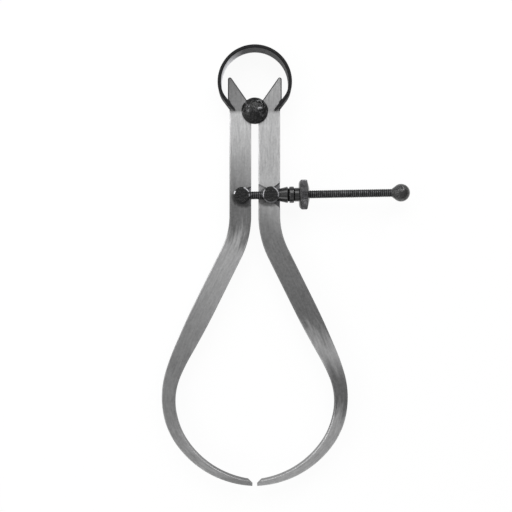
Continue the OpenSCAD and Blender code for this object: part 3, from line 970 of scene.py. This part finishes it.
def buildPost(name, v, own, point, body, node):
    top = v.under + v.height
    profile = roundedProfile([
        (0, v.back, 0), (v.radius - v.backChamfer, v.back, v.round),
        (v.radius, v.back + v.backChamfer, v.round), (v.radius, v.under, v.round),
        (v.head, v.under, v.round), (v.head, top - v.chamfer, v.round),
        (v.head - v.chamfer, top, v.round), (0, top, 0)], steps=3)
    worn = v.head - v.chamfer - v.rubWidth
    profile = [(r, z, 1.0 if z > top - v.chamfer and r > worn else wear) for r, z, wear in profile]
    place = upright(point)
    black = blackOxideMaterial(name + "Black", postBlack, place)
    post = addObject(name, turnedMesh(name, profile, place), black)
    wearAndSheenArcs(post, place, v.under, own.rubs)
    low, high, bore = own.boreStart, v.boreEnd, own.bore
    hole = [(0, low, 0), (bore, low, 0), (bore, high, 0), (0, high, 0)]
    boolean(post, addObject("cutter", turnedMesh("cutter", hole, alongScrew(point), v.boreSteps)))
    if node == "guide_post":
        wide = v.radius + v.seatOver
        seat = boxOutline((0, 0), 0, v.seat, -wide, wide, wide)
        cut(post, seat, pocketShape.outerFloor, v.under - v.seatDrop, place)
    finishPiece(post, body, node)


buildPost("anchorPost", postShape, anchorSet, anchorPoint, "screw", "anchor_post")
buildPost("guidePost", postShape, guideSet, guidePoint, "guide", "guide_post")


# adjusting screw: a thread grown on a helical grid, with a ball on its end
def screwThreadTree(flankSlope=1.5, flat=0.25, mergeGap=0.0005):
    tree, given, out = newTree("screwThread", "GeometryNodeTree", {
        "Base": "Geometry", "Length": "Float", "Pitch": "Float", "Crest radius": "Float",
        "Root radius": "Float", "Around": "Int", "Rows": "Int", "Rows per turn": "Int",
        "Finish": "Material"}, {"Geometry": "Geometry"})
    grid = valueOf(tree, "GeometryNodeMeshGrid", {
        "Size X": 1.0, "Size Y": 1.0, "Vertices X": plus(given["Around"], 1.0),
        "Vertices Y": plus(given["Rows"], 1.0)})
    spot = apartXYZ(valueOf(tree, "GeometryNodeInputPosition"))
    turn = plus(spot["X"], 0.5)
    row = times(plus(spot["Y"], 0.5), given["Rows"])
    phase = calc("DIVIDE", minus(row, 1.0), given["Rows per turn"])
    raw = times(minus(plus(phase, turn), 1.0), given["Pitch"])
    height = calc("MINIMUM", calc("MAXIMUM", raw, 0.0), given["Length"])
    # the thread runs out over one pitch at each end
    nearEnd = calc("MINIMUM", height, minus(given["Length"], height))
    fade = calc("DIVIDE", nearEnd, given["Pitch"], clamp=True)
    wave = times(calc("PINGPONG", phase, 0.5), 2.0)
    crest = calc("SUBTRACT", times(wave, flankSlope), flat, clamp=True)
    depth = minus(given["Crest radius"], given["Root radius"])
    radius = plus(given["Root radius"], times(depth, times(crest, fade)))
    # the first and last rows close the ends
    notFirst = calc("GREATER_THAN", row, 0.5)
    notLast = calc("LESS_THAN", row, minus(given["Rows"], 0.5))
    radius = times(radius, times(notFirst, notLast))
    angle = times(turn, 2 * pi)
    place = joinXYZ(X=times(radius, calc("COSINE", angle)),
                    Y=times(radius, calc("SINE", angle)), Z=height)
    thread = valueOf(tree, "GeometryNodeSetPosition", {"Geometry": grid, "Position": place})
    closed = valueOf(tree, "GeometryNodeMergeByDistance", {"Geometry": thread, "Distance": mergeGap})
    return endTree(tree, closed, given, out)


screwShape = Values(
    start=-1.796, length=63.8, radius=1.63, root=1.48, pitch=0.8, around=36, rowsPerTurn=6, sharpAngle=60,
    rubDepth=0.11, rubFull=0.02, ball=3.55, ballEdge=120, ballSteps=28, ballAround=72, neck=1.9, neckOver=0.4,
    neckDrop=0.2, neckChamfer=0.15)
threadBlack = Values(tone=0.007, rough=0.36, bump=0.2, dents=0.2, wear=0.55, rubbedTone=0.12, gloss=0.15)
ballBlack = Values(tone=0.019, rough=0.18, bump=1.0, dents=1.3, dentCount=900.0, rings=3600.0, gloss=0.55)


def buildScrew(v):
    place = alongScrew(anchorPoint)
    neckStart = v.length - v.ball / 2 - v.neck
    length = neckStart + v.neckOver - v.start
    rows = v.rowsPerTurn * (ceil(length / v.pitch) + 1) + 2
    thread = grow("screwThread", pathMesh("threadBase", [(0, 0, 0)]), screwThreadTree(), {
        "Length": length, "Pitch": v.pitch, "Crest radius": v.radius, "Root radius": v.root,
        "Around": v.around, "Rows": rows, "Rows per turn": v.rowsPerTurn,
        "Finish": blackOxideMaterial("threadBlack", threadBlack)})
    thread.data.transform(place @ Matrix.Translation((0, 0, v.start)))
    # the crests are painted bright, partly wear and partly painted glints
    crest = (v.radius - v.rubDepth, v.radius - v.rubFull)
    setWear(thread, place, lambda spot, wear: shareOf(spot.xy.length, *crest))
    finishPiece(thread, "screw", "adjusting_screw", angle=v.sharpAngle)
    edge, steps = radians(v.ballEdge), v.ballSteps
    turns = [edge * (1 - k / steps) for k in range(steps + 1)]
    sphere = [(v.ball * sin(t), v.length + v.ball * cos(t), 0) for t in turns]
    foot = neckStart - v.neckDrop
    # radius, place along the screw and rounding of each corner
    neck = [(0, foot, 0), (v.radius - v.neckChamfer, foot, 0.05), (v.radius, neckStart, 0.6)]
    ball = addObject("screwBall", turnedMesh("screwBall", roundedProfile(neck + sphere), place, v.ballAround),
                     blackOxideMaterial("ballBlack", ballBlack, place))
    finishPiece(ball, "screw", "adjusting_screw")


buildScrew(screwShape)

# thrust cone and nut, turned round the screw
nutShape = Values(
    start=7.01, beadStart=7.41, bead=3.3, beadWidth=1.9, hub=2.75, hubLength=2.0, neck=2.6, groove=2.6,
    grooveWidth=0.3, grooveEdge=0.05, rim=6.0, rimWidth=2.2, flange=4.1, face=4.68, shoulder=5.52,
    shoulderAt=0.38, crown=2.7, crownDrop=0.532, bore=1.69, round=0.12, teeth=64, toothHeight=0.3,
    toothSink=0.08, toothShare=0.98, rubDepth=0.1)
# ends of a ridge: drop under the rim and place along from the rim's first and last edge
ridgeStart = ((0.05, -0.28), (0.03, 0.1), (0.0, 0.4))
ridgeEnd = ((0.0, -0.4), (0.03, -0.1), (0.05, 0.2))
nutBlack = Values(tone=0.012, rough=0.22, bump=0.15, dents=0.4, rings=4600.0, wear=0.3, gloss=0.6)
# near-black finish for the bore, the neck and the groove beside the bead: painted shade in the hollows
grooveShadeBlack = Values(nutBlack, tone=0.003, rough=0.6, wear=0.0, gloss=0.03)
knurlBlack = Values(nutBlack, tone=0.03, rough=0.34, bump=0.5, wear=0.6, rubbedTone=0.2, gloss=0.3)


def buildCone(v):
    end = v.start + v.length
    profile = roundedProfile([
        (v.bore, v.start, 0), (v.smallRadius, v.start, v.round),
        (v.largeRadius, end - v.chamfer, v.round), (v.largeRadius - v.chamfer, end, v.round),
        (v.bore, end, 0)], closed=True, steps=3)
    place = alongScrew(guidePoint)
    cone = addObject("thrustCone", turnedMesh("thrustCone", profile, place, closed=True),
                     blackOxideMaterial("coneBlack", nutBlack, place))
    finishPiece(cone, "guide", "thrust_cone")


# ridges of the knurl, one shape repeated round the axis
def rimKnurlTree():
    tree, given, out = newTree("rimKnurl", "GeometryNodeTree", {
        "Ridge": "Geometry", "Teeth": "Int", "Finish": "Material"}, {"Geometry": "Geometry"})
    spots = valueOf(tree, "GeometryNodePoints", {"Count": given["Teeth"]})
    index = valueOf(tree, "GeometryNodeInputIndex")
    turn = calc("DIVIDE", times(index, 2 * pi), given["Teeth"])
    ridges = valueOf(tree, "GeometryNodeInstanceOnPoints", {
        "Points": spots, "Instance": given["Ridge"], "Rotation": joinXYZ(Z=turn)})
    return endTree(tree, ridges, given, out)


def ridgeMesh(v, line):
    bm = bmesh.new()
    half = pi / v.teeth * v.toothShare
    rows = []
    for i, (r, z) in enumerate(line):
        lift = 0.0 if i in (0, len(line) - 1) else v.toothHeight
        base = r - v.toothHeight - v.toothSink
        left, right = [(base * cos(a), base * sin(a), z) for a in (-half, half)]
        rows.append([bm.verts.new(p) for p in (left, (base + v.toothSink + lift, 0, z), right)])
    for a, b in zip(rows, rows[1:]):
        for i in range(3):
            j = (i + 1) % 3
            bm.faces.new((a[i], a[j], b[j], b[i]))
    for ends in (rows[0][::-1], rows[-1]):
        bm.faces.new(ends)
    return meshFrom(bm, "ridge", Matrix())


def buildNut(v):
    beadEnd = v.beadStart + v.beadWidth
    grooveEnd = beadEnd + v.grooveWidth
    flangeStart = beadEnd + v.hubLength
    flangeEnd = flangeStart + v.flange
    rimStart = flangeStart + (v.flange - v.rimWidth) / 2
    rimEnd = rimStart + v.rimWidth
    core = v.rim - v.toothHeight
    # radius, place along the screw and rounding of each corner
    profile = roundedProfile([
        (v.bore, v.start, 0), (v.neck, v.start, v.round), (v.neck, v.beadStart, 0.05),
        (v.bead, v.beadStart, 0.5), (v.bead, beadEnd, 0.5), (v.groove, beadEnd, 0.05),
        (v.groove, grooveEnd, 0.05), (v.hub, grooveEnd, 0.15), (v.hub, flangeStart, 0.15),
        (v.face, flangeStart, 0.3), (v.shoulder, flangeStart + v.shoulderAt, 0.3),
        (core, rimStart, 0.2), (core, rimEnd, 0.2), (v.face, flangeEnd - v.crownDrop, 1.2),
        (v.crown, flangeEnd, 0.8), (v.bore, flangeEnd, 0)], closed=True)
    place = alongScrew(guidePoint)
    nut = addObject("adjustingNut", turnedMesh("adjustingNut", profile, place, closed=True),
                    blackOxideMaterial("nutBlack", nutBlack, place),
                    blackOxideMaterial("grooveShadeBlack", grooveShadeBlack, place))
    inverse = place.inverted()
    for face in nut.data.polygons:
        spot = inverse @ face.center
        face.material_index = int(spot.xy.length < v.hub - v.grooveEdge and spot.z < grooveEnd)
    finishPiece(nut, "nut", "adjusting_nut")
    line = [(v.rim - drop, edge + along) for edge, ends in ((rimStart, ridgeStart), (rimEnd, ridgeEnd))
            for drop, along in ends]
    knurl = grow("nutKnurl", ridgeMesh(v, line), rimKnurlTree(), {
        "Teeth": v.teeth, "Finish": blackOxideMaterial("knurlBlack", knurlBlack, place)})
    knurl.data.transform(place)
    setWear(knurl, place, lambda spot, wear: shareOf(spot.xy.length, v.rim - v.rubDepth, v.rim))
    finishPiece(knurl, "nut", "adjusting_nut", angle=None)


buildCone(coneShape)
buildNut(nutShape)

# floor, light and surroundings
studio = Values(
    floorGap=0.02, floorSize=6.0, floorGlow=0.93, floorColour=0.92, floorRough=0.6, zenith=0.52, horizon=0.22,
    rise=(0.15, 0.95), headLift=0.12, leftGlow=0.5, left=(-0.4, -0.95), darkest=0.02, lampAim=(0, 0.09, 0))
# name, place and size in metres, power
lamps = (
    ("leftSoftbox", (-0.50, 0.12, 0.34), (0.35, 0.6), 1.0),
    ("sparkLeft", (-0.41, 0.35, 0.30), (0.07, 0.07), 0.12),
    ("headSoftbox", (0.05, 0.55, 0.50), (0.6, 0.4), 2.4),
    ("footSoftbox", (0.05, -0.30, 0.24), (0.6, 0.3), 0.35),
    ("sparkRight", (0.34, 0.60, 0.26), (0.10, 0.10), 0.8),
    ("coneHead", (-0.25, 0.55, 0.34), (0.2, 0.2), 0.3),
    ("coneFoot", (-0.21, -0.25, 0.26), (0.16, 0.16), 0.2))


def buildFloor(v):
    mesh = bpy.data.meshes.new("floor")
    z = cadLow.z - v.floorGap * mm
    s = v.floorSize
    mesh.from_pydata([(-s, -s, z), (s, -s, z), (s, s, z), (-s, s, z)], [], [(0, 1, 2, 3)])
    material, tree, shader = newMaterial("paleFloor")
    setInputs(tree, shader, {"Base Color": grey(v.floorColour), "Roughness": v.floorRough})
    path = addNode(tree, "ShaderNodeLightPath").outputs
    seen = calc("MAXIMUM", path["Is Camera Ray"],
                calc("MAXIMUM", path["Is Glossy Ray"], path["Is Transmission Ray"]))
    glow = valueOf(tree, "ShaderNodeEmission", {"Color": grey(1.0), "Strength": 1.0})
    mix = valueOf(tree, "ShaderNodeMixShader", {
        0: times(seen, v.floorGlow), 1: shader.outputs[0], 2: glow})
    output = next(n for n in tree.nodes if n.type == "OUTPUT_MATERIAL")
    tree.links.new(mix, output.inputs["Surface"])
    addObject("floor", mesh, material)


# the surroundings are lighter overhead, towards the bow and at the left
def buildWorld(v):
    world = bpy.data.worlds.new("studio")
    world.use_nodes = True
    tree = world.node_tree
    back = next(n for n in tree.nodes if n.type == "BACKGROUND")
    way = apartXYZ(addNode(tree, "ShaderNodeTexCoord").outputs["Generated"])
    rise = ranged(way["Z"], *v.rise, v.horizon, v.zenith)
    left = ranged(way["X"], *v.left, 0.0, v.leftGlow)
    lift = plus(times(way["Y"], v.headLift), left)
    tree.links.new(calc("MAXIMUM", plus(rise, lift), v.darkest), back.inputs["Color"])
    scene.world = world


def addLamp(target, name, at, size, power):
    data = bpy.data.lights.new(name, "AREA")
    data.shape = "RECTANGLE"
    data.size, data.size_y = size
    data.energy = power
    lamp = bpy.data.objects.new(name, data)
    lamp.location = at
    lamp.rotation_euler = (Vector(target) - Vector(at)).to_track_quat("-Z", "Y").to_euler()
    scene.collection.objects.link(lamp)


buildFloor(studio)
buildWorld(studio)
for lamp in lamps:
    addLamp(studio.lampAim, *lamp)
scene.view_settings.view_transform = "Standard"
print("studio ready")

bpy.context.view_layer.update()
